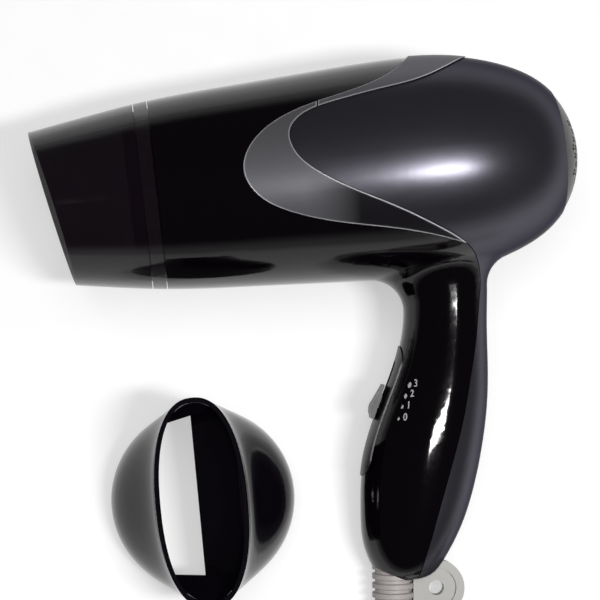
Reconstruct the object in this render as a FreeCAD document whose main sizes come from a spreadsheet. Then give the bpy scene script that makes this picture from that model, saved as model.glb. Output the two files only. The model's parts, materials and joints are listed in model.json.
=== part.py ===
"""A travel hair dryer with its loose air nozzle and its mains cord, as separate named pieces.

Every piece of the dryer is drawn in the dryer's own frame: X runs along the barrel towards the
intake, Z runs from the handle up to the barrel and Y goes through its thickness.  The finished pieces
are then turned by one placement, LIE, so that the dryer lies on its side on the surface z = 0, as it
does when it is put down.  The nozzle and the cord are drawn where they stand and lie on that surface.
"""

import FreeCAD, Part
import Sketcher
import math
import os

from FreeCAD import Placement, Rotation, Vector

doc = FreeCAD.newDocument("travel_hair_dryer")
sheet = doc.addObject("Spreadsheet::Sheet", "dimensions")

# --- driving dimensions, in millimetres and degrees ------------------------------------------------
DIMENSIONS = {
    "wall": 2.4,              # moulded housing wall
    "seam": 0.15,             # half of the gap between two housing pieces
    "trim_depth": 1.4,        # depth of the recess that the trim lies in
    "trim_proud": 0.5,        # how far the trim stands out of the housing
    "mouth_x": -169.2,        # middle of the slanted air outlet
    "mouth_slant": 10.9,      # angle of the outlet's plane
    "sleeve_x": -134.4,       # rear edge of the smoked outlet sleeve
    "collar_x": -129.0,       # rear edge of the smoked collar
    "spigot": 5.0,            # reach of the collar's spigot to each side
    "intake_x": 25.5,         # rear edge of the rear cover
    "intake_radius": 24.3,
    "intake_dome": 38.3,      # radius of the intake grille's dome
    "intake_wall": 1.6,
    "intake_hole": 1.2,       # radius of one hole in the intake grille
    "intake_pitch": 3.6,
    "handle_fillet": 12.0,
    "outlet_grille_radius": 31.0,
    "shield_radius": 32.4,
    "shield_wall": 0.6,
    "shield_front": -122.0,
    "shield_back": -50.0,
    "board_half": 24.0,       # half width of the heater's mica boards
    "board_wall": 0.8,
    "wire": 0.45,             # radius of the heating wire
    "winding": 24.6,          # radius of the heating coil
    "winding_pitch": 6.2,
    "duct_radius": 34.6,
    "duct_wall": 2.0,
    "duct_front": -50.0,
    "duct_back": 0.0,
    "motor_radius": 13.8,
    "motor_wall": 1.0,
    "motor_front": -50.0,
    "motor_back": -19.0,
    "shaft": 1.0,             # radius of the motor's shaft
    "shaft_play": 0.05,
    "bush": 3.0,
    "fan_radius": 31.2,
    "fan_front": -15.5,
    "fan_back": -2.5,
    "fan_hub": 8.5,
    "blade_pitch": 52.0,
    "blade_wall": 1.3,
    "slide_lean": 24.5,       # lean of the switch's travel from the Z axis
    "knob_half_length": 7.0,
    "knob_half_width": 4.6,
    "knob_rise": 3.6,
    "plate_half_length": 26.0,
    "plate_half_width": 7.2,
    "switch_travel": 12.9,
    "relief_radius": 8.0,
    "relief_length": 38.0,
    "relief_tip": 4.4,
    "loop_radius": 10.8,
    "loop_hole": 2.9,
    "loop_half": 3.0,         # half thickness of the hanging loop
    "cord": 3.0,              # radius of the mains cord
    "coil_middle": 33.0,      # radius at the middle of the coil's turns
    "nozzle_radius": 35.3,
    "nozzle_wall": 1.6,
    "nozzle_ledge": 0.2,      # step that stops the dryer's outlet in the socket
    "nozzle_socket": 11.0,
    "nozzle_height": 46.0,
    "mouth_half_length": 38.7,
    "mouth_half_width": 16.9,
    "plug_pin": 2.4,
    "plug_pin_length": 19.0,
    "plug_pin_apart": 19.0,
    "lie_roll": 11.2,         # how far the dryer leans over onto its handle
    "lie_pitch": 2.8,         # how far its outlet end dips
    "lie_lift": 44.78,        # height of the barrel's middle above the surface
    "lie_x": 70.35,           # where the dryer's own origin comes to lie
    "lie_y": 72.13,
    "nozzle_x": -51.7,
    "nozzle_y": -41.2,
    "nozzle_turn": -1.0,
    "nozzle_lean": 8.9,       # the socket's rim is cut on this slant, so the nozzle leans as it stands
    "coil_x": 78.4,
    "coil_y": -151.9,
}
for row, (name, value) in enumerate(DIMENSIONS.items(), start=1):
    sheet.set(f"A{row}", name)
    sheet.set(f"B{row}", str(value))
    sheet.setAlias(f"B{row}", name)
doc.recompute()
D = type("Sizes", (), {name: float(getattr(sheet, name)) for name in DIMENSIONS})

X, Y, Z = Vector(1, 0, 0), Vector(0, 1, 0), Vector(0, 0, 1)
ORIGIN = Vector(0, 0, 0)
ALONG_X = Rotation(Y, 90)     # turns a primitive's own Z onto X
ALONG_Y = Rotation(X, -90)    # turns a primitive's own Z onto Y
FAR = 120.0                   # further out than any surface of the dryer
parts = []                    # finished sub-parts, in the order in which they are written


# --- helpers -----------------------------------------------------------------------------------------
def words(text):
    """Turns [name] into the sheet's cell of that name."""
    return str(text).replace("[", "dimensions.").replace("]", "")


def bind(obj, **expressions):
    for prop, text in expressions.items():
        obj.setExpression(prop, words(text))
    return obj


def cylinder(name, radius, height, at=ORIGIN, turn=ALONG_X):
    """A cylinder with bound sizes, standing along the barrel unless it is turned."""
    obj = bind(doc.addObject("Part::Cylinder", name), Radius=radius, Height=height)
    obj.Placement = Placement(at, turn)
    return obj


def box(name, length, width, height, middle=ORIGIN, turn=Rotation()):
    """A box with bound sizes, centred on a point."""
    obj = bind(doc.addObject("Part::Box", name), Length=length, Width=width, Height=height)
    obj.recompute()
    half = Vector(obj.Length.Value, obj.Width.Value, obj.Height.Value) * 0.5
    obj.Placement = Placement(middle - turn.multVec(half), turn)
    return obj


def solid(name, shape):
    """A feature for a form that neither a primitive nor a body can make."""
    obj = doc.addObject("Part::Feature", name)
    obj.Shape = shape
    return obj


def cut(name, base, tool):
    obj = doc.addObject("Part::Cut", name)
    obj.Base, obj.Tool, obj.Refine = base, tool, False
    return obj


def common(name, base, tool):
    obj = doc.addObject("Part::Common", name)
    obj.Base, obj.Tool, obj.Refine = base, tool, False
    return obj


def fuse(name, *shapes):
    obj = doc.addObject("Part::MultiFuse", name)
    obj.Shapes, obj.Refine = list(shapes), False
    return obj


def finish(obj, node, lies=True):
    """Names a finished sub-part; one that lies is turned with the dryer at the end."""
    obj.Label = node
    parts.append((node, obj, lies))
    return obj


def sketch_in(body, plane, points):
    """A closed polygon on one of the body's planes, each corner placed by two expressions."""
    sketch = body.newObject("Sketcher::SketchObject", body.Name + "_sketch")
    role = {"XY": "XY_Plane", "XZ": "XZ_Plane", "YZ": "YZ_Plane"}[plane]
    face = next(f for f in body.Origin.OriginFeatures if f.Role == role)
    sketch.AttachmentSupport = [(face, "")]
    sketch.MapMode = "FlatFace"
    values = [(evaluate(a), evaluate(b)) for a, b in points]
    for k, (a, b) in enumerate(values):
        c, d = values[(k + 1) % len(values)]
        sketch.addGeometry(Part.LineSegment(Vector(a, b, 0), Vector(c, d, 0)), False)
    for k in range(len(values)):
        sketch.addConstraint(Sketcher.Constraint("Coincident", k, 2, (k + 1) % len(values), 1))
    for k, pair in enumerate(points):
        for kind, text, value in zip(("DistanceX", "DistanceY"), pair, values[k]):
            index = sketch.addConstraint(Sketcher.Constraint(kind, -1, 1, k, 1, value))
            sketch.setExpression(f"Constraints[{index}]", words(text))
    return sketch


def evaluate(text):
    """The present value of an expression made of cells and numbers."""
    return float(sheet.evalExpression(str(text).replace("[", "").replace("]", "")))


def revolved(name, points):
    """A PartDesign body: a profile of (along X, radius) corners turned about X."""
    body = doc.addObject("PartDesign::Body", name)
    sketch = sketch_in(body, "XZ", points)
    turn = body.newObject("PartDesign::Revolution", name + "_turn")
    turn.Profile = sketch
    turn.ReferenceAxis = (sketch, ["H_Axis"])
    turn.Angle = 360
    sketch.Visibility = False
    return body


def padded(name, plane, points, length, midplane=True):
    """A PartDesign body: a polygon padded through, half to each side by default."""
    body = doc.addObject("PartDesign::Body", name)
    sketch = sketch_in(body, plane, points)
    pad = body.newObject("PartDesign::Pad", name + "_pad")
    pad.Profile = sketch
    pad.SideType = "Symmetric" if midplane else "One side"
    bind(pad, Length=length)
    return body


def curve(points):
    """A smooth curve through points in the XZ plane."""
    line = Part.BSplineCurve()
    line.interpolate([Vector(x, 0, z) for x, z in points])
    return line


def beside(points, distance):
    """The same curve moved sideways, to the left of its direction, by a distance."""
    line = curve(points)
    moved = []
    for x, z in points:
        tangent = line.tangent(line.parameter(Vector(x, 0, z)))[0]
        moved.append((x - tangent.z * distance, z + tangent.x * distance))
    return moved


def behind(name, points, corners):
    """All that lies behind a parting curve, as a prism that runs through the whole thickness."""
    edges = [curve(points).toShape()]
    loop = [points[-1], *corners, points[0]]
    for (a, b), (c, d) in zip(loop, loop[1:]):
        edges.append(Part.makeLine(Vector(a, 0, b), Vector(c, 0, d)))
    face = Part.Face(Part.Wire(edges))
    face.translate(Vector(0, -FAR, 0))
    return solid(name, face.extrude(Vector(0, 2 * FAR, 0)))


# --- the housing's form, whole and grown or shrunk by an offset ---------------------------------------
# Radius of the barrel along its axis, from the outlet to the intake.
BARREL = [
    (-178.0, 28.4), (-150.0, 33.1), (-128.0, 36.3), (-95.0, 38.9), (-60.0, 41.2),
    (-30.0, 42.4), (-9.0, 40.7), (8.0, 36.1), (18.5, 30.9), (25.5, 24.9),
]
# Handle sections: height, middle, half width along X and half width along Y.
HANDLE = [
    (-18.0, -22.0, 17.2, 15.4), (-40.0, -22.4, 16.6, 15.2), (-60.0, -23.9, 16.4, 15.0),
    (-76.0, -27.4, 18.4, 15.6), (-93.0, -32.8, 21.7, 16.6), (-111.0, -38.6, 23.2, 17.0),
    (-129.0, -43.2, 21.6, 16.4), (-141.0, -46.4, 18.9, 15.4), (-149.0, -48.2, 15.4, 13.2),
    (-154.0, -49.0, 12.2, 10.4), (-157.4, -49.6, 7.0, 6.0),
]
JUNCTION = FreeCAD.BoundBox(-62, -45, -60, 18, 45, -20)  # where the handle leaves the barrel


def barrel_form(name, offset):
    """The barrel as a solid of revolution; a shrunk one runs out through both ends."""
    profile = [Vector(x, 0, radius + offset) for x, radius in BARREL]
    line = Part.BSplineCurve()
    line.interpolate(profile)
    first, last = profile[0], profile[-1]
    edges = [
        line.toShape(), Part.makeLine(last, Vector(last.x, 0, 0)),
        Part.makeLine(Vector(last.x, 0, 0), Vector(first.x, 0, 0)),
        Part.makeLine(Vector(first.x, 0, 0), first),
    ]
    return solid(name, Part.Face(Part.Wire(edges)).revolve(ORIGIN, X, 360))


def handle_form(name, offset):
    """The handle as a loft through ellipses; a shrunk one also ends higher."""
    sections = []
    for k, (height, middle, half_x, half_y) in enumerate(HANDLE):
        ring = doc.addObject("Part::Ellipse", f"{name}_section_{k}")
        ring.MajorRadius = half_x + offset
        ring.MinorRadius = half_y + offset
        ring.Placement = Placement(Vector(middle, 0, height - offset * (k > 7)), Rotation())
        sections.append(ring)
    loft = doc.addObject("Part::Loft", name)
    loft.Sections, loft.Solid, loft.Ruled = sections, True, False
    return loft


def housing_form(name, offset):
    """Barrel and handle as one form with a smooth fillet where they meet."""
    joined = fuse(name + "_joined", barrel_form(name + "_barrel", offset),
                  handle_form(name + "_handle", offset))
    doc.recompute()
    edges = [k for k, edge in enumerate(joined.Shape.Edges, start=1)
             if JUNCTION.isInside(edge.BoundBox) and edge.BoundBox.YLength > 1]
    radius = D.handle_fillet - offset
    form = doc.addObject("Part::Fillet", name)
    form.Base = joined
    form.Edges = [(k, radius, radius) for k in edges]
    return form


outer = housing_form("outer", 0.0)
inner = housing_form("inner", -D.wall)
trim_surface = housing_form("trim_surface", D.trim_proud)
recess_form = housing_form("recess_floor", -D.trim_depth)
trim_floor = housing_form("trim_floor", -D.trim_depth + 0.1)
doc.recompute()

# The rear cover's edge: over the barrel's top, round a wide bulge and down the back of the handle.
PARTING = [
    (8.0, 45.4), (-8.9, 38.2), (-27.8, 30.8), (-43.2, 28.2), (-58.5, 25.7), (-66.9, 24.0),
    (-73.9, 21.1), (-78.5, 15.8), (-78.0, 9.3), (-69.0, -0.8), (-55.9, -8.8), (-41.9, -16.1),
    (-27.5, -24.5), (-17.4, -31.2), (-12.0, -37.2), (-10.1, -44.0), (-11.5, -53.7), (-14.6, -68.6),
    (-18.9, -83.4), (-23.4, -98.0), (-28.9, -112.4), (-37.8, -134.2), (-46.0, -155.5),
    (-52.0, -172.0),
]
# The trim's outer edge: from the barrel's top round a wider bulge and in again to a tail.
TRIM_EDGE = [
    (-18.0, 49.8), (-26.9, 43.1), (-35.5, 36.3), (-44.2, 32.1), (-56.1, 28.7), (-66.9, 26.3),
    (-77.3, 23.2), (-88.5, 17.3), (-94.9, 10.5), (-97.1, 4.5), (-95.9, -2.0), (-91.5, -7.8),
    (-81.9, -13.6), (-67.6, -18.5), (-49.5, -22.6), (-31.4, -27.1), (-13.3, -33.4), (4.0, -40.0),
]
rear_corners = [(70.0, -172.0), (70.0, 70.0), (8.0, 70.0)]
trim_corners = [(70.0, -40.0), (70.0, 70.0), (-18.0, 70.0)]
rear_zone = behind("rear_zone", beside(PARTING, D.seam), rear_corners)
rear_keepout = behind("rear_keepout", beside(PARTING, -D.seam), rear_corners)
trim_zone = behind("trim_zone", beside(TRIM_EDGE, D.seam), trim_corners)
trim_keepout = behind("trim_keepout", TRIM_EDGE, trim_corners)
doc.recompute()


# --- housing shells, trim, sleeve and collar ----------------------------------------------------------
def span(name, start, end, across=2 * FAR):
    """Everything between two stations of the barrel's axis, as a slab."""
    slab = bind(doc.addObject("Part::Box", name), Length=f"({end}) - ({start})")
    slab.Width = slab.Height = 2 * across
    slab.Placement = Placement(Vector(0, -across, -across), Rotation())
    slab.setExpression("Placement.Base.x", words(start))
    return slab


SLIDE = Rotation(Y, D.slide_lean)          # the switch's frame: Z up its travel, -X out of the handle
KNOB = Vector(-52.3, 0, -88.9)             # middle of the knob, on the handle's front, at "0"


def on_slide(up, out):
    """A point of the handle's front, measured along the switch's travel and out of the surface."""
    return KNOB + SLIDE.multVec(Vector(-out, 0, up))


def stadium(name, half_length, half_width, up, outer_end, inner_end):
    """A prism with round ends, square to the switch plate, between two heights off its surface."""
    middle = (outer_end + inner_end) / 2
    depth = outer_end - inner_end
    block = box(name + "_block", depth, 2 * half_width, 2 * (half_length - half_width),
                on_slide(up, middle), SLIDE)
    ends = []
    for k, side in enumerate((-1, 1)):
        place = on_slide(up + side * (half_length - half_width), outer_end)
        ends.append(cylinder(f"{name}_end_{k}", half_width, depth, place, SLIDE * ALONG_X))
    return fuse(name, block, *ends)


SLOT_MIDDLE = D.switch_travel / 2
plate_shape = stadium("plate_shape", D.plate_half_length, D.plate_half_width, -3, 12, -9)
plate_pocket = stadium("plate_pocket", D.plate_half_length + D.seam, D.plate_half_width + D.seam,
                       -3, 12, -9)
stem_slot = stadium("stem_slot", SLOT_MIDDLE + 4.2, 2.2, SLOT_MIDDLE, 6, -8)

RELIEF = Vector(-54.8, 0, -152.0)          # where the cord leaves the handle's lower end
RELIEF_TURN = Rotation(Y, 90) * Rotation(Y, 6.3)   # its own X points out along the cord
relief_hole = cylinder("relief_hole", "[relief_radius] + [seam]", 32,
                       RELIEF - RELIEF_TURN.multVec(X) * 4.3, RELIEF_TURN * ALONG_X)

SCREWS = [(-116.0, -21.0), (-138.0, -31.0)]        # height, and where the head seats


def screw_row(name, radius, start, end):
    """One cylinder along X for each housing screw, from its seat plus start to its seat plus end."""
    return [cylinder(f"{name}_{k}", radius, end - start, Vector(seat + start, 0, height))
            for k, (height, seat) in enumerate(SCREWS)]


def again(form):
    """A fresh copy of a form, because a boolean loosens the tolerances of what it is given."""
    doc.recompute()
    return solid(form.Name + "_copy", form.Shape.copy())


# Front: full thickness outside the trim, and down to the recess's floor where the trim lies.
front_full = cut("front_full", cut("front_whole", again(outer), again(rear_keepout)), again(trim_keepout))
front_low = cut("front_low", again(recess_form), again(rear_keepout))
front_hollow = cut("front_hollow", fuse("front_stepped", front_full, again(front_low)), again(inner))
rear_hollow = cut("rear_hollow", common("rear_whole", again(outer), again(rear_zone)), again(inner))

bosses = common("bosses", fuse("boss_row", *screw_row("boss", 4.0, -42, 9)), again(recess_form))
front_bossed = fuse("front_bossed", front_hollow, cut("front_bosses", again(bosses), again(rear_keepout)))
rear_bossed = fuse("rear_bossed", rear_hollow, common("rear_bosses", again(bosses), again(rear_zone)))

plate_recess = cut("plate_recess", plate_pocket, again(recess_form))
front_piece = cut("front_plated", front_bossed, plate_recess)
front_piece = cut("front_slotted", front_piece, again(stem_slot))
front_piece = cut("front_tapped", front_piece,
                  fuse("tapped_holes", *screw_row("tapped_hole", 1.5, -15, 2)))
front_piece = cut("front_relieved", front_piece, again(relief_hole))
finish(common("front_cut", front_piece, span("front_span", "[collar_x] + [seam]", "70")), "front_shell")

rear_piece = cut("rear_cleared", rear_bossed, fuse("clear_holes", *screw_row("clear_hole", 1.7, -12, 12)))
finish(cut("rear_cut", rear_piece, fuse("head_recesses", *screw_row("head_recess", 3.1, 0, 14))),
       "rear_cover")

band = common("band_zone", cut("band_shell", again(trim_surface), again(trim_floor)),
              cut("band_prism", trim_zone, again(rear_keepout)))
TRIM_BREAK = Vector(-66.9, 0, 25.2)        # short break in the thin part of the trim
break_turn = Rotation(Y, 14)
break_slot = box("break_slot", 0.5, 2 * FAR, 12, TRIM_BREAK, break_turn)
trim_parts = cut("trim_parts", band, break_slot)
doc.recompute()


def pick(obj, name, node, chosen):
    """Takes one of the separate solids of a divided form."""
    found = [s for s in obj.Shape.Solids if chosen(s.CenterOfMass)]
    return finish(solid(name, found[0]), node)


pick(trim_parts, "trim_over", "trim_top", lambda c: abs(c.y) < 1)
pick(trim_parts, "trim_near", "trim_left", lambda c: c.y < -1)
pick(trim_parts, "trim_away", "trim_right", lambda c: c.y > 1)

sleeve_shell = cut("sleeve_shell", again(outer), again(inner))
mouth = box("mouth_plane", 100, 2 * FAR, 2 * FAR,
            Vector(D.mouth_x, 0, 0) + Rotation(Y, -D.mouth_slant).multVec(X) * 50,
            Rotation(Y, -D.mouth_slant))
sleeve_back = span("sleeve_span", "-200", "[sleeve_x] - [seam]")
finish(common("sleeve_cut", common("sleeve_length", sleeve_shell, sleeve_back), mouth),
       "outlet_sleeve")

ring_piece = common("ring_piece", again(sleeve_shell),
                    span("ring_span", "[sleeve_x] + [seam]", "[collar_x] - [seam]"))
ring_web = revolved("ring_web", [
    ("[sleeve_x] + [seam]", "[outlet_grille_radius] + 0.05"), ("[sleeve_x] + [seam]", "34"),
    ("[collar_x] - [seam]", "34"), ("[collar_x] - [seam]", "[outlet_grille_radius] + 0.05"),
])
spigot = revolved("collar_spigot", [
    ("[sleeve_x] - [spigot]", "[outlet_grille_radius] + 0.05"),
    ("[sleeve_x] - [spigot]", "[outlet_grille_radius] + 0.95"),
    ("[collar_x] + [spigot]", "[outlet_grille_radius] + 2.95"),
    ("[collar_x] + [spigot]", "[outlet_grille_radius] + 0.05"),
])
finish(fuse("collar_ring", ring_piece, ring_web, spigot), "outlet_collar")


# --- outlet grille and heater -------------------------------------------------------------------------
def ring_points(start, end, inside, outside):
    """The four corners of a plain ring's section."""
    return [(start, inside), (start, outside), (end, outside), (end, inside)]


GRILLE_X = -126.8
GRILLE_DEPTH = 1.8
GRILLE_RINGS = [(29.4, D.outlet_grille_radius), (20.0, 21.2), (10.4, 11.6), (0.0, 3.0)]    # radii
SPOKE = (1.6, 1.4, 60.4)      # its depth, its width and its length across the outlet
grille_rings = []
for k, (inside, outside) in enumerate(GRILLE_RINGS):
    corners = ring_points(GRILLE_X, GRILLE_X + GRILLE_DEPTH, inside, outside)
    grille_rings.append(revolved(f"grille_ring_{k}", corners))
spokes = [box(f"spoke_{k}", *SPOKE, Vector(GRILLE_X + GRILLE_DEPTH / 2, 0, 0), Rotation(X, 60 * k))
          for k in range(3)]
finish(fuse("grille_disc", *grille_rings, *spokes), "outlet_grille")

finish(revolved("shield_tube", ring_points("[shield_front]", "[shield_back]",
       "[shield_radius] - [shield_wall]", "[shield_radius]")), "heat_shield")

BOARD_FRONT, BOARD_BACK = -118.0, -50.0
BOARD_MIDDLE = Vector((BOARD_FRONT + BOARD_BACK) / 2, 0, 0)
for k, (node, turn, side) in enumerate((("mica_board_upright", Rotation(), -1),
                                        ("mica_board_flat", Rotation(X, 90), 1))):
    board = box(f"board_{k}", BOARD_BACK - BOARD_FRONT, "[board_wall]", "2 * [board_half]",
                BOARD_MIDDLE, turn)
    slot = box(f"board_slot_{k}", 40, 3, "[board_wall] + 0.1",
               BOARD_MIDDLE + X * side * 20, turn)
    finish(cut(f"board_cut_{k}", board, slot), node)

# The heating wire runs in hoops round the boards, and short links carry it from hoop to hoop.
HOOPS, FIRST_HOOP = 8, -110.0
wires = []
for k in range(HOOPS):
    station = Vector(FIRST_HOOP + k * D.winding_pitch, 0, 0)
    hoop = bind(doc.addObject("Part::Torus", f"hoop_{k}"), Radius1="[winding]", Radius2="[wire]")
    hoop.Placement = Placement(station, ALONG_X)
    wires.append(hoop)
    if k < HOOPS - 1:
        side = Y * D.winding * (1 if k % 2 else -1)
        wires.append(cylinder(f"link_{k}", "0.8 * [wire]", "[winding_pitch]", station + side))
finish(fuse("winding_laid", *wires), "heater_winding")
finish(box("thermostat_case", 9, 3, 8, Vector(-90, 1.9, 10)), "thermostat")
finish(cylinder("fuse_case", 1.5, 10, Vector(-80, 1.9, 14)), "thermal_fuse")


# --- fan duct, motor and fan --------------------------------------------------------------------------
duct = revolved("duct_tube", [
    ("[duct_front]", "[duct_radius] - [duct_wall]"), ("[duct_front]", "39.2"),
    ("[duct_front] + 2", "39.2"), ("[duct_front] + 2", "[duct_radius]"),
    ("[duct_back]", "[duct_radius]"), ("[duct_back]", "[duct_radius] - [duct_wall]"),
])
cup = revolved("motor_cup", ring_points("[duct_front]", "[motor_back] - 5", "[motor_radius] + 0.05",
                                        "[motor_radius] + 1.6"))
vanes = []
for k in range(5):
    turn = Rotation(X, 36 + 72 * k)
    vanes.append(box(f"vane_{k}", 20, 1.6, 18.4, Vector(-38, 0, 0) + turn.multVec(Z) * 24.1, turn))
finish(fuse("duct_body", duct, cup, *vanes), "fan_duct")

finish(revolved("can", [
    ("[motor_front]", "[bush]"), ("[motor_front]", "[motor_radius]"),
    ("[motor_back]", "[motor_radius]"), ("[motor_back]", "[bush]"),
    ("[motor_back] - [motor_wall]", "[bush]"),
    ("[motor_back] - [motor_wall]", "[motor_radius] - [motor_wall]"),
    ("[motor_front] + [motor_wall]", "[motor_radius] - [motor_wall]"),
    ("[motor_front] + [motor_wall]", "[bush]"),
]), "motor_can")
bushes = [revolved(f"bush_{k}", ring_points(start, end, "[shaft] + [shaft_play]", "[bush]"))
          for k, (start, end) in enumerate((("[motor_front]", "[motor_front] + 3.5"),
                                            ("[motor_back] - 3.5", "[motor_back]")))]
finish(fuse("bush_pair", *bushes), "motor_bushes")
finish(revolved("magnet_ring", ring_points("-44", "-25", "10.6", "12.75")), "motor_magnet")
finish(revolved("armature", [
    ("-45", "[shaft]"), ("-45", "6"), ("-42", "6"), ("-42", "9.8"), ("-28", "9.8"),
    ("-28", "6"), ("-25.5", "6"), ("-25.5", "[shaft]"),
]), "motor_armature")
finish(cylinder("shaft_rod", "[shaft]", 45, Vector(-49, 0, 0)), "motor_shaft")

hub = revolved("hub", [
    ("-4", "0"), ("-4", "[shaft]"), ("[fan_front]", "[shaft]"), ("[fan_front]", "[fan_hub]"),
    ("-5", "[fan_hub] - 1"), ("[fan_back]", "5"), ("[fan_back]", "0"),
])
blades = []
for k in range(7):
    turn = Rotation(X, 360 * k / 7)
    middle = Vector((D.fan_front + D.fan_back) / 2, 0, 0) + turn.multVec(Z) * 20.2
    blades.append(box(f"blade_{k}", 24, "[blade_wall]", 26, middle, turn * Rotation(Z, D.blade_pitch)))
blade_room = cylinder("blade_room", "[fan_radius]", "[fan_back] - [fan_front] - 0.4",
                      Vector(D.fan_front + 0.2, 0, 0))
trimmed = common("trimmed_blades", fuse("blade_set", *blades), blade_room)
finish(fuse("fan_body", hub, trimmed), "fan_impeller")


# --- intake -------------------------------------------------------------------------------------------
def ball(name, radius):
    sphere = bind(doc.addObject("Part::Sphere", name), Radius=radius)
    sphere.Placement.Base = Vector(34.3 - D.intake_dome, 0, 0)
    return sphere


dome = cut("dome_shell", ball("dome_outside", "[intake_dome]"),
           ball("dome_inside", "[intake_dome] - [intake_wall]"))
dome = common("dome_cap", dome, cylinder("dome_room", "[intake_radius]", 30, Vector(D.intake_x + 0.1, 0, 0)))
intake_spigot = revolved("intake_spigot", ring_points("21", "[intake_x] + 1.4", "20.4", "21.9"))
intake = fuse("intake_body", dome, intake_spigot)
holes = []
for row in range(-6, 7):
    for column in range(-6, 7):
        across = (column + row % 2 / 2) * D.intake_pitch
        up = row * D.intake_pitch * math.sqrt(3) / 2
        if math.hypot(across, up) < 19.0:
            holes.append(Part.makeCylinder(D.intake_hole, 20, Vector(20, across, up), X))
finish(cut("intake_pierced", intake, solid("intake_holes", Part.makeCompound(holes))), "intake_grille")

bars = [box(f"filter_bar_{k}", 0.8, 0.7, 42, Vector(20.3, 0, 0) + Rotation(X, 90 * (k % 2)).multVec(Y) *
            (k // 2 - 2) * 7, Rotation(X, 90 * (k % 2))) for k in range(10)]
filter_disc = cylinder("filter_room", 21.5, 1.2, Vector(19.8, 0, 0))
filter_ring = revolved("filter_ring", ring_points("19.8", "21", "20", "22.4"))
finish(fuse("filter_body", filter_ring, common("filter_bars", fuse("bar_grid", *bars), filter_disc)),
       "dust_filter")


# --- switch -------------------------------------------------------------------------------------------
plate_band = common("plate_band", cut("plate_shell", again(trim_surface), again(trim_floor)), plate_shape)
finish(cut("plate_cut", plate_band, again(stem_slot)), "switch_plate")

knob_cap = padded("knob_cap", "XZ", [
    ("-1.15", "-6.6"), ("-1.9", "-6.9"), ("-3.2", "-4.6"), ("-[knob_rise]", "-2.9"),
    ("-[knob_rise]", "-1.7"), ("-3.2", "-0.4"), ("-1.6", "[knob_half_length]"),
    ("-1.15", "[knob_half_length]"),
], "2 * [knob_half_width]")
knob_cap.Placement = Placement(KNOB, SLIDE)
stem = box("knob_stem", 8.4, 3.6, 5, on_slide(0, -2.8), SLIDE)
finish(fuse("knob_body", knob_cap, stem), "switch_knob")

switch_case = box("switch_case", 10, 12, "[switch_travel] + 20", on_slide(SLOT_MIDDLE, -9.4), SLIDE)
finish(cut("switch_case_cut", switch_case, again(stem_slot)), "switch_body")
board_at = on_slide(SLOT_MIDDLE, -15.2)
finish(box("wiring_board", 1.6, 20, 44, board_at, SLIDE), "circuit_board")
diodes = [cylinder(f"diode_{k}", 1.4, 6, on_slide(SLOT_MIDDLE + side * 12, -17.4), SLIDE)
          for k, side in enumerate((-1, 0, 1))]
finish(fuse("diode_set", *diodes), "rectifier_diodes")

screws = []
for k, (height, seat) in enumerate(SCREWS):
    head = cylinder(f"screw_head_{k}", 2.7, 1.8, Vector(seat, 0, height))
    cross = [box(f"screw_cross_{k}_{n}", 1.6, 0.7, 3.4, Vector(seat + 1.4, 0, height), Rotation(X, 90 * n))
             for n in range(2)]
    head = cut(f"screw_drive_{k}", head, fuse(f"screw_crosses_{k}", *cross))
    shank = cylinder(f"screw_shank_{k}", 1.4, 13, Vector(seat - 12.9, 0, height))
    screws.append(fuse(f"screw_{k}", head, shank))
finish(fuse("screw_pair", *screws), "housing_screws")


# --- strain relief and hanging loop -------------------------------------------------------------------
RIBS = 10
rib_pitch = (D.relief_length - 2) / RIBS
ribbed = [("-4", "[cord] + 0.05"), ("-4", "[relief_radius]")]
for k in range(RIBS):
    start = 1 + k * rib_pitch
    taper = D.relief_radius + (D.relief_tip + 0.6 - D.relief_radius) * max(0, k - 3) / (RIBS - 4)
    ribbed += [(f"{start}", f"{taper}"), (f"{start + 0.4}", f"{taper - 1.1}"),
               (f"{start + 1.5}", f"{taper - 1.1}"), (f"{start + 1.9}", f"{taper}")]
ribbed += [("[relief_length]", "[relief_tip]"), ("[relief_length]", "[cord] + 0.05")]
relief = revolved("relief_body", ribbed)
relief.Placement = Placement(RELIEF, RELIEF_TURN)
finish(relief, "strain_relief")

LOOP = Vector(-39.2, 0, -162.1)
disc = cylinder("loop_disc", "[loop_radius]", "2 * [loop_half]", LOOP - Y * D.loop_half, ALONG_Y)
rim = cut("loop_rim", disc,
          cylinder("loop_step", "[loop_radius] - 3.2", "2 * [loop_half]", LOOP - Y * D.loop_half, ALONG_Y))
web = cylinder("loop_web", "[loop_radius] - 3", "2 * [loop_half] - 1.6",
               LOOP - Y * (D.loop_half - 0.8), ALONG_Y)
loop_hole = cylinder("loop_bore", "[loop_hole]", 20, LOOP - Y * 10, ALONG_Y)
loop = cut("loop_pierced", fuse("loop_solid", rim, web), loop_hole)
loop = cut("loop_relieved", loop, again(relief_hole))
finish(cut("loop_body", loop, again(outer)), "hanging_loop")


# --- nozzle: a round socket that flattens to an oval mouth ---------------------------------------------
LEAN_AXIS = Vector(0.849, -0.529, 0)
NOZZLE = Placement(Vector(D.nozzle_x, D.nozzle_y, 0),
                   Rotation(LEAN_AXIS, D.nozzle_lean) * Rotation(Z, D.nozzle_turn))
NOZZLE_FOOT = -8.0            # below the slanted rim on every side


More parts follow.
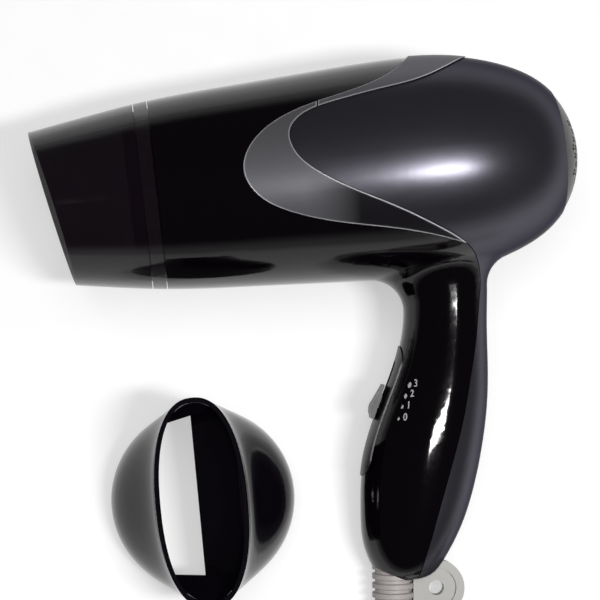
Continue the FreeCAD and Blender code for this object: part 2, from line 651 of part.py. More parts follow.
def flattened(share, height, offset):
    """A closed smooth section between the socket's circle (0) and the mouth's flat oval (1)."""
    half_length = D.nozzle_radius + (D.mouth_half_length - D.nozzle_radius) * share + offset
    half_width = D.nozzle_radius + (D.mouth_half_width - D.nozzle_radius) * share + offset
    power = 2 / (2 + 0.3 * share)
    ring = []
    for k in range(32):
        angle = 2 * math.pi * k / 32
        c, s = math.cos(angle), math.sin(angle)
        ring.append(Vector(math.copysign(abs(c) ** power, c) * half_width,
                           math.copysign(abs(s) ** power, s) * half_length, height))
    line = Part.BSplineCurve()
    line.interpolate(ring, PeriodicFlag=True)
    return Part.Wire(line.toShape())


def nozzle_form(name, offset, bottom):
    """The nozzle's form up to just above its mouth: a straight socket, then a smooth change of section."""
    rings = [flattened(0, bottom, offset), flattened(0, D.nozzle_socket, offset)]
    for step in (0.25, 0.5, 0.75, 1.0):
        share = step * step * (3 - 2 * step)
        height = D.nozzle_socket + step * (D.nozzle_height - D.nozzle_socket)
        rings.append(flattened(share, height, offset))
    rings.append(flattened(1.0, D.nozzle_height + 1, offset))
    return solid(name, Part.makeLoft(rings, True, False))


nozzle_floor = box("nozzle_floor", 2 * FAR, 2 * FAR, 40)
nozzle_floor.Placement = NOZZLE.inverse() * Placement(Vector(D.nozzle_x - FAR, D.nozzle_y - FAR, -40),
                                                      Rotation())
nozzle_room = box("nozzle_room", FAR, FAR, "2 * [nozzle_height]")
nozzle_outside = common("nozzle_outside", nozzle_form("nozzle_whole", 0.0, NOZZLE_FOOT), nozzle_room)
nozzle_bore = cylinder("nozzle_bore", "[nozzle_radius] - [nozzle_wall]",
                       f"[nozzle_socket] + {-NOZZLE_FOOT + 2}",
                       Z * (NOZZLE_FOOT - 2), Rotation())
nozzle_inside = nozzle_form("nozzle_inside", -D.nozzle_wall - D.nozzle_ledge, D.nozzle_socket - 1)
nozzle_shell = cut("nozzle_hollow", nozzle_outside, nozzle_inside)
nozzle_shell = cut("nozzle_bored", nozzle_shell, nozzle_bore)
nozzle_shell = cut("nozzle_standing", nozzle_shell, nozzle_floor)

# The deflector closes the mouth but for one slot: a leaning panel and a leaning cheek at each end.
SLOT_EDGE = -1.5              # where the panel ends, across the mouth
SLOT_MID = -7.0
SLOT_ENDS = [(-1, -27.0, -6.5), (1, 31.0, 12.0)]   # side, where the cheek ends, slant of its edge
panel = box("panel", 60, 90, 1.6, Vector(5.6, 0, 34), Rotation(Y, -48.0))
panel = common("panel_side", panel, box("panel_room", 40, 90, 80, Vector(SLOT_EDGE + 20, 0, 40)))
cheeks = []
for k, (side, end, slant) in enumerate(SLOT_ENDS):
    cheek = box(f"cheek_{k}", 40, 40, 1.6, Vector(0, side * 33.5, 36.5), Rotation(X, side * 50.0))
    way = Rotation(Z, slant)
    room = box(f"cheek_room_{k}", 60, 24, 80, Vector(SLOT_MID, end, 40) + way.multVec(Y * side * 12), way)
    cheeks.append(common(f"cheek_end_{k}", cheek, room))
deflector_form = nozzle_form("deflector_form", -D.nozzle_wall - D.nozzle_ledge - 0.08, D.nozzle_socket - 1)
deflector_room = common("deflector_room", deflector_form,
                        box("deflector_slab", FAR, FAR, "2 * ([nozzle_height] - 1.2)"))
deflector = common("deflector", fuse("deflector_set", panel, *cheeks), deflector_room)


# --- cord: straight runs joined by tangent arcs, a put-away coil, its tie and the plug ------------------
def cord_tube(name, route):
    """A round tube along a route; each arc is as large as its two runs allow."""
    points = [Vector(*p) for p in route]
    edges, here, length = [], points[0], 0.0
    for before, corner, after in zip(points, points[1:], points[2:]):
        back, ahead = before - corner, after - corner
        turn = math.pi - back.getAngle(ahead)
        reach = 0.45 * min(back.Length, ahead.Length)
        start = corner + back * (reach / back.Length)
        end = corner + ahead * (reach / ahead.Length)
        radius = reach / math.tan(turn / 2)
        middle = corner + (back / back.Length + ahead / ahead.Length).normalize() * (
            radius / math.cos(turn / 2) - radius)
        edges += [Part.LineSegment(here, start).toShape(), Part.Arc(start, middle, end).toShape()]
        length += (start - here).Length + radius * turn
        here = end
        print(f"{name}: bend radius {radius:.1f} mm, turn {math.degrees(turn):.1f} degrees")
    edges.append(Part.LineSegment(here, points[-1]).toShape())
    length += (points[-1] - here).Length
    circle = Part.makeCircle(D.cord, points[0], points[1] - points[0])
    tube = Part.Wire(edges).makePipeShell([Part.Wire(circle)], True, True)
    print(f"{name}: volume {tube.Volume:.1f}, section times length {math.pi * D.cord ** 2 * length:.1f}"
          f" cubic mm, length {length:.1f} mm")
    return solid(name, tube)


# From inside the strain relief, down to the surface and round to the coil.
CORD_ROUTE = [
    (14.25, -104.28, 7.06), (12.20, -124.27, 3.00), (15.4, -151.9, 3.0), (30.4, -176.9, 3.0),
    (53.4, -188.9, 3.0), (78.4, -188.4, 3.0),
]
# From the coil's outermost turn to the plug.
TAIL_ROUTE = [
    (78.4, -190.9, 8.2), (101.4, -188.4, 5.2), (120.4, -174.9, 3.2), (131.2, -153.2, 6.8),
]
COIL = Vector(D.coil_x, D.coil_y, 0)
UPRIGHT = Rotation(Y, -90)                 # turns a body's own X up


def coil_section(grow):
    """Seven turns laid two, three and two: a six-sided section, given as height and radius."""
    row_height = D.cord * math.sqrt(3)
    low, high = 0.0, 2 * D.cord + 2 * row_height
    mid = [D.coil_middle - 3 * D.cord - grow, D.coil_middle + 3 * D.cord + grow]
    flat = [D.coil_middle - 2 * D.cord - grow / 2, D.coil_middle + 2 * D.cord + grow / 2]
    waist = [D.cord + row_height - 0.9 * D.cord, D.cord + row_height + 0.9 * D.cord]
    return [(low, flat[0]), (low, flat[1]), (waist[0], mid[1]), (waist[1], mid[1]),
            (high + grow, flat[1]), (high + grow, flat[0]), (waist[1], mid[0]), (waist[0], mid[0])]


coil = revolved("coil_ring", coil_section(0.0))
coil.Placement = Placement(COIL, UPRIGHT)
tie_ring = revolved("tie_ring", coil_section(0.9))
tie_ring.Placement = Placement(COIL, UPRIGHT)
tie_room = box("tie_room", 9, 40, 60, COIL + Vector(0, D.coil_middle, 20))

plug = padded("plug_block", "XY", [
    ("0", "-5"), ("0", "5"), ("9", "13"), ("33", "13"), ("33", "-13"), ("9", "-13"),
], "14")
PLUG_WAY = Rotation(Z, 63.5)
PLUG = Placement(Vector(131.0, -153.6, 7), PLUG_WAY)
plug.Placement = PLUG
pins = [cylinder(f"plug_pin_{k}", "[plug_pin]", "[plug_pin_length]",
                 PLUG.multVec(Vector(33, side * D.plug_pin_apart / 2, 0)), PLUG_WAY * ALONG_X)
        for k, side in enumerate((-1, 1))]
doc.recompute()

finish(cut("cord_end", cord_tube("cord_run", CORD_ROUTE), again(coil)), "cord_tube", lies=False)
finish(coil, "cord_coil", lies=False)
finish(cut("tail_end", cut("tail_start", cord_tube("tail_run", TAIL_ROUTE), again(coil)), again(plug)),
       "cord_tail", lies=False)
finish(cut("tie_band", common("tie_slice", tie_ring, tie_room), again(coil)), "cord_tie", lies=False)
finish(plug, "plug_body", lies=False)
finish(fuse("pin_pair", *pins), "plug_pins", lies=False)


# --- lay everything down, check it and write it ---------------------------------------------------------
LIE_TURN = Rotation(Y, -D.lie_pitch) * Rotation(X, D.lie_roll) * Rotation(X, -90)
LIE = Placement(Vector(D.lie_x, D.lie_y, D.lie_lift), LIE_TURN)
doc.recompute()
for obj in (finish(nozzle_shell, "nozzle_shell", lies=False),
            finish(deflector, "nozzle_deflector", lies=False)):
    obj.Placement = NOZZLE
for node, obj, lies in parts:
    if lies:
        obj.Placement = LIE.multiply(obj.Placement)
doc.recompute()

failed = [obj.Name for obj in doc.Objects if "Invalid" in obj.State or "Error" in obj.State]
for node, obj, lies in parts:
    if obj.Shape.isNull() or not obj.Shape.isValid():
        failed.append(node)
if failed:
    raise RuntimeError(f"these objects failed: {failed}")
os.makedirs("parts", exist_ok=True)
for node, obj, lies in parts:
    box_of = obj.Shape.BoundBox
    print(f"{node:20s} solids {len(obj.Shape.Solids)} volume {obj.Shape.Volume:10.1f}"
          f" x {box_of.XMin:7.1f} {box_of.XMax:7.1f} y {box_of.YMin:7.1f} {box_of.YMax:7.1f}"
          f" z {box_of.ZMin:6.1f} {box_of.ZMax:6.1f}")
    obj.Shape.exportStep(f"parts/{node}.step")
tip = LIE.multVec(RELIEF + RELIEF_TURN.multVec(X) * D.relief_length)
print("strain relief ends at", tip, "pointing", LIE_TURN.multVec(RELIEF_TURN.multVec(X)))
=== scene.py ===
# %% [markdown]
# # A travel hair dryer with its loose air nozzle
#
# The construction of this dryer comes ready made: every shell, the fan, the switch and the cord's
# route are already in place, and this lesson dresses them.  It gives each piece the finish that it has
# on the real object: gloss black shells, a graphite lacquer on the rear cover, satin silver trim, a
# smoked clear outlet, light grey soft plastic on the strain relief and the cord.

# %% Load the frame
import json
import math

import bpy
import numpy as np
from mathutils import Matrix, Vector


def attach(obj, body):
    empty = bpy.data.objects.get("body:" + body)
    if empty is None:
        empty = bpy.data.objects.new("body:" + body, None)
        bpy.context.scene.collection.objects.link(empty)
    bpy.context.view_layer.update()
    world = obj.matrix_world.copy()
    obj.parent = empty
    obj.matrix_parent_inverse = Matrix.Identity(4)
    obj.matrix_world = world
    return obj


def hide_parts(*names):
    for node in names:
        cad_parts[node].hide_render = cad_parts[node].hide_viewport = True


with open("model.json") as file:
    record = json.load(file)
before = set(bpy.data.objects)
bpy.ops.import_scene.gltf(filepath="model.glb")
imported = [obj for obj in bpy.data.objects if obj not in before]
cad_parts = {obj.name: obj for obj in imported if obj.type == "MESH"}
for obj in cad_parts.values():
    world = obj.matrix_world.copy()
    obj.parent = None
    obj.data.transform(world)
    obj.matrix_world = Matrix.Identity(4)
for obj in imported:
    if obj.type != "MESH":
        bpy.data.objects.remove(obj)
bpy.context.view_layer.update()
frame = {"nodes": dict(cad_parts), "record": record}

# %% [markdown]
# ## Where the dryer lies
#
# The dryer lies on its side, so its own axes are turned in the scene.  Two things in the record say
# how: the fan turns about the barrel's axis, and the hanging hole is bored straight through the
# dryer's thickness.  From those two directions comes one matrix, which carries any point measured in
# millimetres on the dryer into the scene.

# %% The dryer's own axes
record = frame["record"]
spin = next(j for j in record["behaviour"]["joints"] if j["name"] == "fan_spin")
hole = next(m for m in record["mounts"] if m["name"] == "hanging_hole")
FAN_STATION = -9.0            # the joint's place along the barrel, in the dryer's millimetres
MM = 0.001

along = Vector(spin["axis"]).normalized()
through = -Vector(hole["axis"]).normalized()
upward = along.cross(through).normalized()
turn = Matrix((along, through, upward)).transposed()
origin = Vector(spin["pos_m"]) - along * FAN_STATION * MM
LIE = Matrix.Translation(origin) @ turn.to_4x4() @ Matrix.Scale(MM, 4)


def on_dryer(x, y, z):
    """A point given in millimetres along the dryer's own axes, in scene metres."""
    return LIE @ Vector((x, y, z))


print("barrel axis", [round(v, 4) for v in along], "origin", [round(v, 4) for v in origin])

# %% [markdown]
# ## Camera
#
# The dryer is seen square to its side from about 0.7 m, a little from the outlet's end.  The camera is
# rolled a few degrees, so the barrel rises to the right as it does when a hand holds it up.

# %% Place the camera
AIM = (-78.9, 0.0, -46.0)     # the point of the dryer's middle plane in the centre of the frame
STAND = (-135.0, -700.0, -46.0)    # where the camera stands
ROLL = math.radians(6.5)
FRAME_WIDTH = 231.0           # how much of the middle plane the frame spans, in millimetres

aim, stand = on_dryer(*AIM), on_dryer(*STAND)
forward = (aim - stand).normalized()
rough_up = (along * math.sin(ROLL) + upward * math.cos(ROLL)).normalized()
right = forward.cross(rough_up).normalized()
up = right.cross(forward).normalized()
camera_data = bpy.data.cameras.new("camera")
camera = bpy.data.objects.new("camera", camera_data)
camera.matrix_world = Matrix.Translation(stand) @ Matrix((right, up, -forward)).transposed().to_4x4()
camera_data.angle = 2 * math.atan(FRAME_WIDTH * MM / 2 / (aim - stand).length)
camera_data.clip_start = 0.01
bpy.context.scene.collection.objects.link(camera)
bpy.context.scene.camera = camera
bpy.context.scene.view_settings.view_transform = "Standard"
print("lens angle", round(math.degrees(camera_data.angle), 2), "degrees")

# %% [markdown]
# ## Mains cord
#
# A cord is one length of something flexible, so it is one smooth NURBS curve with a round bevel.  Its
# first points are listed: out of the strain relief, down to the surface and round to the coil.
# The coil's seven turns come from one angle that keeps growing, in layers of two, three and two
# turns, and the last points lead to the plug.
#
# The cord's thickness is a point's radius times the bevel's depth.  Blender also widens a curve's
# bounding box by that radius, so the radius carries the true 3 mm and the depth stays at 1.

# %% The cord's route
CORD_RADIUS = 0.003
CORD_ROUTE = [
    (0.01425, -0.10428, 0.00706), (0.01220, -0.12427, 0.00300), (0.0154, -0.1519, 0.0030),
    (0.0304, -0.1769, 0.0030), (0.0534, -0.1889, 0.0030), (0.0784, -0.1884, 0.0030),
]
TAIL_ROUTE = [
    (0.0784, -0.1909, 0.0082), (0.1014, -0.1884, 0.0052), (0.1204, -0.1749, 0.0032),
    (0.1312, -0.1532, 0.0068),
]
COIL_CENTRE = (0.0784, -0.1519)
TURN_RADII = (36, 30, 27, 33, 30, 36, 39, 39)    # of each turn as it is wound, and its end, in mm
TURN_LAYERS = (0, 0, 1, 1, 2, 2, 1, 1)           # the layer that each of them lies in
STEP_FROM = 0.75                                 # the share of a turn after which the next one starts
POINTS_PER_TURN = 16


def coil_turns():
    """Seven turns about the coil's centre, one cord's width apart, as control points.

    Radius and height step from each turn to the next over the last quarter of the turn, and the
    radius is enlarged because a smooth curve passes inside its control points.
    """
    layer = CORD_RADIUS * math.sqrt(3)
    radii = np.array(TURN_RADII) * MM
    heights = CORD_RADIUS + layer * np.array(TURN_LAYERS)
    turns = len(TURN_RADII) - 1
    step = np.arange(turns * POINTS_PER_TURN + 1)[1:-1] / POINTS_PER_TURN
    which = np.floor(step).astype(int)
    share = np.clip((step - which - STEP_FROM) / (1 - STEP_FROM), 0, 1)
    share = share * share * (3 - 2 * share)
    radius = radii[which] * (1 - share) + radii[which + 1] * share
    height = heights[which] * (1 - share) + heights[which + 1] * share
    radius = radius / math.cos(math.pi / POINTS_PER_TURN)
    angle = -math.pi / 2 + step * 2 * math.pi
    return np.stack([COIL_CENTRE[0] + radius * np.cos(angle),
                     COIL_CENTRE[1] + radius * np.sin(angle), height], axis=1)


# %% Build the cord as one curve
cord_points = np.vstack([CORD_ROUTE, coil_turns(), TAIL_ROUTE])
cord_curve = bpy.data.curves.new("mains_cord", "CURVE")
cord_curve.dimensions = "3D"
spline = cord_curve.splines.new("NURBS")
spline.points.add(len(cord_points) - 1)
spline.points.foreach_set("co", np.hstack([cord_points, np.ones((len(cord_points), 1))]).ravel())
spline.points.foreach_set("radius", np.full(len(cord_points), CORD_RADIUS))
spline.order_u = 3
spline.use_endpoint_u = True
cord_curve.resolution_u = 6
cord_curve.bevel_depth = 1.0
cord_curve.bevel_resolution = 4
cord_curve.use_fill_caps = True
cord = bpy.data.objects.new("mains_cord", cord_curve)
bpy.context.scene.collection.objects.link(cord)
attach(cord, "dryer")
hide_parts("cord_tube", "cord_coil", "cord_tail")
steps = np.linalg.norm(np.diff(cord_points, axis=0), axis=1)
print("cord control points", len(cord_points), "polygon length", round(float(steps.sum()), 3), "m")

nodes = frame["nodes"]

# %% [markdown]
# ## Shader maths
#
# A finish is a small network of shader nodes.  Written out node by node it is hard to read, so one
# class wraps a socket: adding or multiplying wrapped sockets adds the Math node that does it.

# %% A socket that can be added and multiplied
class Wire:
    """A value in a shader network that can be used in ordinary arithmetic."""

    def __init__(self, tree, socket):
        self.tree, self.socket = tree, socket

    def _math(self, kind, other, swap=False, clamp=False):
        """Adds the Math node that joins this value with another value or a plain number."""
        node = self.tree.nodes.new("ShaderNodeMath")
        node.operation, node.use_clamp = kind, clamp
        for index, value in enumerate((other, self) if swap else (self, other)):
            if isinstance(value, Wire):
                self.tree.links.new(value.socket, node.inputs[index])
            else:
                node.inputs[index].default_value = value
        return Wire(self.tree, node.outputs[0])

    def __add__(self, other):
        return self._math("ADD", other)

    __radd__ = __add__

    def __mul__(self, other):
        return self._math("MULTIPLY", other)

    __rmul__ = __mul__

    def __sub__(self, other):
        return self._math("SUBTRACT", other)

    def __rsub__(self, other):
        return self._math("SUBTRACT", other, swap=True)

    def power(self, exponent):
        return self._math("POWER", exponent)

    def clamped(self):
        """The value held between 0 and 1."""
        return self._math("ADD", 0.0, clamp=True)


print("shader arithmetic ready")

# %% [markdown]
# ## Other nodes
#
# Noise, bumps and colour mixes are nodes too.  One method adds any of them: it is told the node's
# type, then its settings, then what its sockets hold.  A material is such a tree with a Principled
# shader at its end.

# %% One method for any node
class Network:
    """A tree of shader nodes, with one method that adds any node."""

    def __init__(self, tree):
        self.tree = tree

    def feed(self, socket, value):
        """Links a socket to a wire, or gives it a plain value."""
        if isinstance(value, Wire):
            self.tree.links.new(value.socket, socket)
        else:
            socket.default_value = value

    def node(self, kind, settings=(), sockets=(), output=0):
        """Adds a node: its settings first, then the values or links of its sockets."""
        made = self.tree.nodes.new(kind)
        for name, value in dict(settings).items():
            setattr(made, name, value)
        for name, value in dict(sockets).items():
            self.feed(made.inputs[name], value)
        return Wire(self.tree, made.outputs[output])

    def mix(self, share, first, second):
        """A colour between two colours."""
        return self.node("ShaderNodeMix", {"data_type": "RGBA"}, {0: share, 6: first, 7: second}, 2)


class Finish(Network):
    """A material under construction."""

    def __init__(self, name):
        self.material = bpy.data.materials.new(name)
        self.material.use_nodes = True
        super().__init__(self.material.node_tree)
        self.shader = next(n for n in self.tree.nodes if n.type == "BSDF_PRINCIPLED")

    def place(self, scale=(1, 1, 1)):
        """Object coordinates through a Mapping node."""
        here = self.node("ShaderNodeTexCoord", output="Object")
        return self.node("ShaderNodeMapping", {}, {"Vector": here, "Scale": scale})

    def noise(self, scale, detail, where=None):
        """Smooth noise: the scale says how many blots fit into a metre."""
        return self.node("ShaderNodeTexNoise", {}, {"Vector": where or self.place(), "Scale": scale,
                                                    "Detail": detail}, "Fac")

    def bump(self, height, strength, distance):
        """A normal that makes a surface look raised by the height times the distance, in metres."""
        return self.node("ShaderNodeBump", {}, {"Height": height, "Strength": strength,
                                                "Distance": distance}, "Normal")

    def constant(self, **sockets):
        """Values that are the same all over the surface, set on the shader's own sockets."""
        for name, value in sockets.items():
            self.shader.inputs[name.replace("_", " ")].default_value = value
        return self

    def paint(self, **sockets):
        """Values or wires for the shader's sockets, and the finished material."""
        for name, value in sockets.items():
            self.feed(self.shader.inputs[name.replace("_", " ")], value)
        return self.material


print("shader helpers ready")

# %% [markdown]
# ## Plastic finishes
#
# Injection-moulded plastic is never one even colour.  A gloss shell has a faint waviness, called
# orange peel, and thin dust that dulls the gloss in patches.  Both come from noise: large and soft for
# the waviness, small and sharp for the dust.

# %% Moulded plastic
DRIFT, DUST = (38, 3), (900, 4)      # noise as (scale, detail): slow changes of colour, and dust
PEEL, GRAIN = (240, 1), (2600, 2)    # the shell's waviness, and the grain of a satin mould
PEEL_HEIGHT = 0.4                    # how high the waviness is, where a full grain is 1
PEEL_STRENGTH, GRAIN_STRENGTH = 0.12, 0.5
BUMP_DEPTH = 0.0002                  # in metres


def opaque(colour, times=1.0):
    """A colour with its fourth number, and lightened or darkened if asked."""
    return tuple(c * times for c in colour) + (1,)


def moulded(name, colour, gloss, variation=0.12, grain=0.0, tint=1.25, ior=1.5):
    """Moulded plastic: colour and roughness drift slightly, and a fine grain may be embossed."""
    finish = Finish(name).constant(IOR=ior)
    drift = finish.noise(*DRIFT)
    dust = finish.noise(*DUST)
    patch = finish.mix(drift, opaque(colour), opaque(colour, tint))
    rough = (drift - 0.5) * variation + (dust - 0.5) * variation + gloss
    height = finish.noise(*PEEL) * PEEL_HEIGHT + finish.noise(*GRAIN) * grain
    return finish.paint(Base_Color=patch, Roughness=rough.clamped(),
                        Normal=finish.bump(height, PEEL_STRENGTH + grain * GRAIN_STRENGTH, BUMP_DEPTH))


gloss_black = moulded("gloss_black_shell", (0.0018, 0.0010, 0.0018), gloss=0.07, variation=0.04, ior=1.42)
nozzle_black = moulded("nozzle_gloss", (0.003, 0.002, 0.004), gloss=0.10, variation=0.05, ior=1.42)
satin_black = moulded("satin_black_plastic", (0.006, 0.005, 0.006), gloss=0.38, variation=0.1, grain=0.3)
deep_black = moulded("grille_black_plastic", (0.006, 0.006, 0.007), gloss=0.35, variation=0.1, grain=0.2)
soft_grey = moulded("soft_grey_vinyl", (0.405, 0.375, 0.365), gloss=0.5, variation=0.1, grain=0.4,
                    tint=1.08)
loop_grey = moulded("light_grey_plastic", (0.38, 0.375, 0.355), gloss=0.42, variation=0.1, grain=0.2,
                    tint=1.06)
print("moulded plastics:", [plastic.name for plastic in (
    gloss_black, nozzle_black, satin_black, deep_black, soft_grey, loop_grey)])

# %% [markdown]
# ## Metallic lacquer
#
# The rear cover is black plastic too, but it is sprayed with lacquer full of metal flakes.  The flakes
# are the cells of a Voronoi texture, bright at their middles.  A lacquer's pigment dulls the mirror
# image at its rim, which one colour on the shader's Specular Tint does.

# %% Graphite lacquer
RIM_TINT = (0.25, 0.25, 0.27, 1)
SLOW_DRIFT, LACQUER_PEEL = (30, 2), (300, 1)    # noise as (scale, detail)
PEEL_FAINT = 0.08                               # a sprayed coat flows out flatter than a moulded skin
FLAKE_SCALE = 3200                              # flakes in a metre
FLAKE_FALL, FLAKE_POWER = 1.6, 5                # how fast a flake darkens outwards, and how sharply


def flake_sparkle(finish, where):
    """Points of light: one minus the distance from the nearest flake's middle, raised to a power."""
    flakes = finish.node("ShaderNodeTexVoronoi", {}, {"Vector": where, "Scale": FLAKE_SCALE}, "Distance")
    return (1 - flakes * FLAKE_FALL).clamped().power(FLAKE_POWER)


def lacquered(name, colour, fleck, metal, gloss):
    """Metallic lacquer: tiny flakes lighten the colour in points, and its rim stays dark."""
    finish = Finish(name).constant(Specular_Tint=RIM_TINT, IOR=1.35)
    sparkle = flake_sparkle(finish, finish.place())
    drift = finish.noise(*SLOW_DRIFT)
    body = finish.mix(sparkle * 0.55 + drift * 0.2, opaque(colour), opaque(fleck))
    rough = (drift - 0.5) * 0.05 + gloss
    return finish.paint(Base_Color=body, Metallic=metal, Roughness=rough.clamped(),
                        Normal=finish.bump(finish.noise(*LACQUER_PEEL), PEEL_FAINT, BUMP_DEPTH))


graphite = lacquered("graphite_lacquer", (0.085, 0.082, 0.098), fleck=(0.20, 0.20, 0.23), metal=0.85,
                     gloss=0.29)
print("lacquer:", graphite.name)

# %% [markdown]
# ## Silver trim
#
# The trim's satin silver has a painted highlight along its edges, and painted shade takes its lower arm
# off to black.
# The edges are found without painting them: a Bevel node rounds the normal near an edge, and where it
# turns away from the true one the colour is lighter.  The painted shade is a plain ramp along the barrel.

# %% Satin silver
# The lower arm gets painted shade, and the edges get a painted highlight.
TAIL_FADE = (-76.0, -56.0)    # where the lower arm starts to darken and is black, mm along the barrel
TAIL_SIDE = 0.008             # how far below the barrel's axis the shade is in full, in metres
EDGE_WIDTH = 0.0009           # how far from an edge its light line reaches, in metres
EDGE_GAIN = 16                # how soon a turned normal counts as an edge
TRIM_METAL, TRIM_GLOSS = 0.55, 0.33


def trim_lacquer(name, colour, edge_highlight_colour, tail_shade_colour):
    """Satin silver with a painted highlight along its edges and painted shade on its lower arm.

    The place along the barrel, and the height over its axis, are dot products of a point with the
    barrel's axis and with the dryer's upward axis.
    """
    finish = Finish(name).constant(Specular_Tint=RIM_TINT)
    here = finish.node("ShaderNodeTexCoord", output="Object")

    def dot(first, second):
        return finish.node("ShaderNodeVectorMath", {"operation": "DOT_PRODUCT"},
                           {0: first, 1: second}, "Value")

    start, end = (on_dryer(x, 0, 0).dot(along) for x in TAIL_FADE)
    below = on_dryer(0, 0, 0).dot(upward) - dot(here, tuple(upward))
    reach = (dot(here, tuple(along)) - start) * (1 / (end - start))
    # painted shade mask: it grows towards the rear and below the barrel's axis
    tail_shade = reach.clamped() * (below * (1 / TAIL_SIDE)).clamped()
    rounded = finish.node("ShaderNodeBevel", {"samples": 6}, {"Radius": EDGE_WIDTH})
    true = finish.node("ShaderNodeNewGeometry", output="Normal")
    # painted highlight mask: a light line along the trim's edges
    edge = ((1 - dot(rounded, true)) * EDGE_GAIN).clamped()
    body = finish.mix(flake_sparkle(finish, here) * 0.3, opaque(colour), opaque(colour, 1.6))
    # painted shade on the lower arm, then the painted highlight along the edges
    body = finish.mix(tail_shade, body, opaque(tail_shade_colour))
    body = finish.mix(edge, body, opaque(edge_highlight_colour))
    rough = (finish.noise(*SLOW_DRIFT) - 0.5) * 0.06 + TRIM_GLOSS
    return finish.paint(Base_Color=body, Metallic=(1 - tail_shade) * TRIM_METAL, Roughness=rough.clamped(),
                        Normal=finish.bump(finish.noise(*LACQUER_PEEL), PEEL_FAINT, BUMP_DEPTH))


silver = trim_lacquer("silver_lacquer", (0.15, 0.15, 0.163), edge_highlight_colour=(0.62, 0.62, 0.65),
                      tail_shade_colour=(0.008, 0.007, 0.009))
print("trim:", silver.name)

# %% [markdown]
# ## Smoked clear plastic
#
# The outlet sleeve is moulded in clear plastic with a smoke tint, so the grille and the heater show
# faintly through it.  Alpha does this cheaply: most of the light that meets the wall is soaked up, and
# the rest goes straight on.

# %% Smoke tint
CLEAR_PEEL = (200, 1)         # noise as (scale, detail)


def smoked(name, colour, alpha, gloss):
    """Tinted clear plastic: a gloss skin over a dark, partly see-through wall."""
    finish = Finish(name)
    drift = finish.noise(*SLOW_DRIFT)
    wall = (drift - 0.5) * 0.08 + alpha
    rough = (drift - 0.5) * 0.04 + gloss
    return finish.paint(Base_Color=finish.mix(drift, opaque(colour), opaque(colour, 1.6)),
                        Roughness=rough.clamped(), Alpha=wall.clamped(),
                        Normal=finish.bump(finish.noise(*CLEAR_PEEL), PEEL_FAINT, BUMP_DEPTH))


smoke = smoked("smoked_clear_plastic", (0.004, 0.002, 0.004), alpha=0.76, gloss=0.07)
print("clear plastic:", smoke.name)

# %% [markdown]
# ## Metals and the parts inside
#
# Little of the inside is seen, but every piece has the finish of its real material: turned steel with
# fine rings, plated sheet, mica, bronze, ferrite and a green laminate board.

# %% Metals and inner materials
STRETCH = (0.05, 1, 1)        # draws the noise out twenty times along X
STREAK_DEPTH = 0.0001         # in metres


def metal(name, colour, gloss, streaks=60.0):
    """Bare metal with fine streaks along it in its colour and its roughness."""
    finish = Finish(name)
    lines = finish.noise(streaks * 40, 3, where=finish.place(STRETCH))
    body = finish.mix(lines * 0.3, opaque(colour), opaque(colour, 0.7))
    rough = (lines - 0.5) * 0.2 + gloss
    return finish.paint(Base_Color=body, Metallic=1.0, Roughness=rough.clamped(),
                        Normal=finish.bump(lines, 0.05, STREAK_DEPTH))


INNER = {
    "mica": moulded("mica_sheet", (0.42, 0.36, 0.25), 0.35, 0.3, grain=0.5, tint=1.5),
    "wire_alloy": metal("heating_wire", (0.45, 0.42, 0.38), 0.3),
    "steel": metal("turned_steel", (0.56, 0.56, 0.56), 0.28),
    "zinc_can": metal("plated_can", (0.55, 0.55, 0.52), 0.35, 20),
    "bronze": metal("sintered_bronze", (0.5, 0.33, 0.16), 0.45, 90),
    "magnet": moulded("ferrite", (0.06, 0.06, 0.065), 0.6, 0.2, grain=0.6),
    "duct_plastic": moulded("natural_plastic", (0.62, 0.60, 0.54), 0.45, 0.15, grain=0.3, tint=1.08),
    "fan_plastic": moulded("fan_plastic", (0.035, 0.035, 0.036), 0.4, 0.1, grain=0.2),
    "board_green": moulded("green_laminate", (0.03, 0.13, 0.05), 0.35, 0.15, grain=0.4),
    "part_dark": moulded("dark_phenolic", (0.025, 0.024, 0.023), 0.45, 0.15, grain=0.3),
    "pin_brass": metal("nickel_plate", (0.66, 0.64, 0.60), 0.2),
}
OUTER = {
    "housing_black": gloss_black, "cover_graphite": graphite, "trim_silver": silver,
    "smoke_clear": smoke, "grille_black": deep_black, "switch_black": satin_black,
    "cord_grey": soft_grey, "loop_grey": loop_grey, "nozzle_smoke": nozzle_black,
}

print("inner finishes:", len(INNER), "outer finishes:", len(OUTER))

# %% [markdown]
# ## Dressing the pieces
#
# The record says which finish each piece has, by a short name called its slot.  A table leads from the
# slot to the material, so one loop dresses every piece and no piece can be forgotten.

# %% Give every carried-over piece its finish
FINISHES = {**INNER, **OUTER}
slot_of = {part["node"]: part["material_slot"] for part in record["subparts"]}
for name, node in nodes.items():
    finish = FINISHES[slot_of[name]]
    if node.data.materials:
        for index in range(len(node.data.materials)):
            node.data.materials[index] = finish
    else:
        node.data.materials.append(finish)
cord_curve.materials.append(soft_grey)
print("dressed", len(nodes), "pieces")

# %% [markdown]
# ## Marks beside the switch
#
# Four dots of growing size and the figures 3 to 0 are printed on the handle beside the switch.  A
# figure is a text curve turned into a mesh; a dot is a disc.  Both are laid flat just off the handle,
# and a Shrinkwrap modifier presses them onto its skin.

# %% Print the dots and figures
MARKS = {                     # figure: (its x and z on the dryer, its dot's x, z and radius), mm
    "3": (-40.5, -82.0, -43.8, -81.9, 1.15), "2": (-42.3, -85.7, -45.8, -85.9, 0.95),
    "1": (-44.1, -90.0, -47.4, -89.9, 0.80), "0": (-45.8, -94.4, -49.1, -94.4, 0.65),
}
FIGURE_HEIGHT = 4.0           # the text curve's size, a little more than the figure's own height
PRINT_PLANE = -15.0           # just off the handle's near side
PRINT_LIFT = 0.12             # how far the print stands off the skin, mm
FIGURE_LEAN = math.radians(4)
STROKE_SWELL = 0.06           # how much bolder the figures are printed than the typeface is, mm
DISC_SIDES = 24


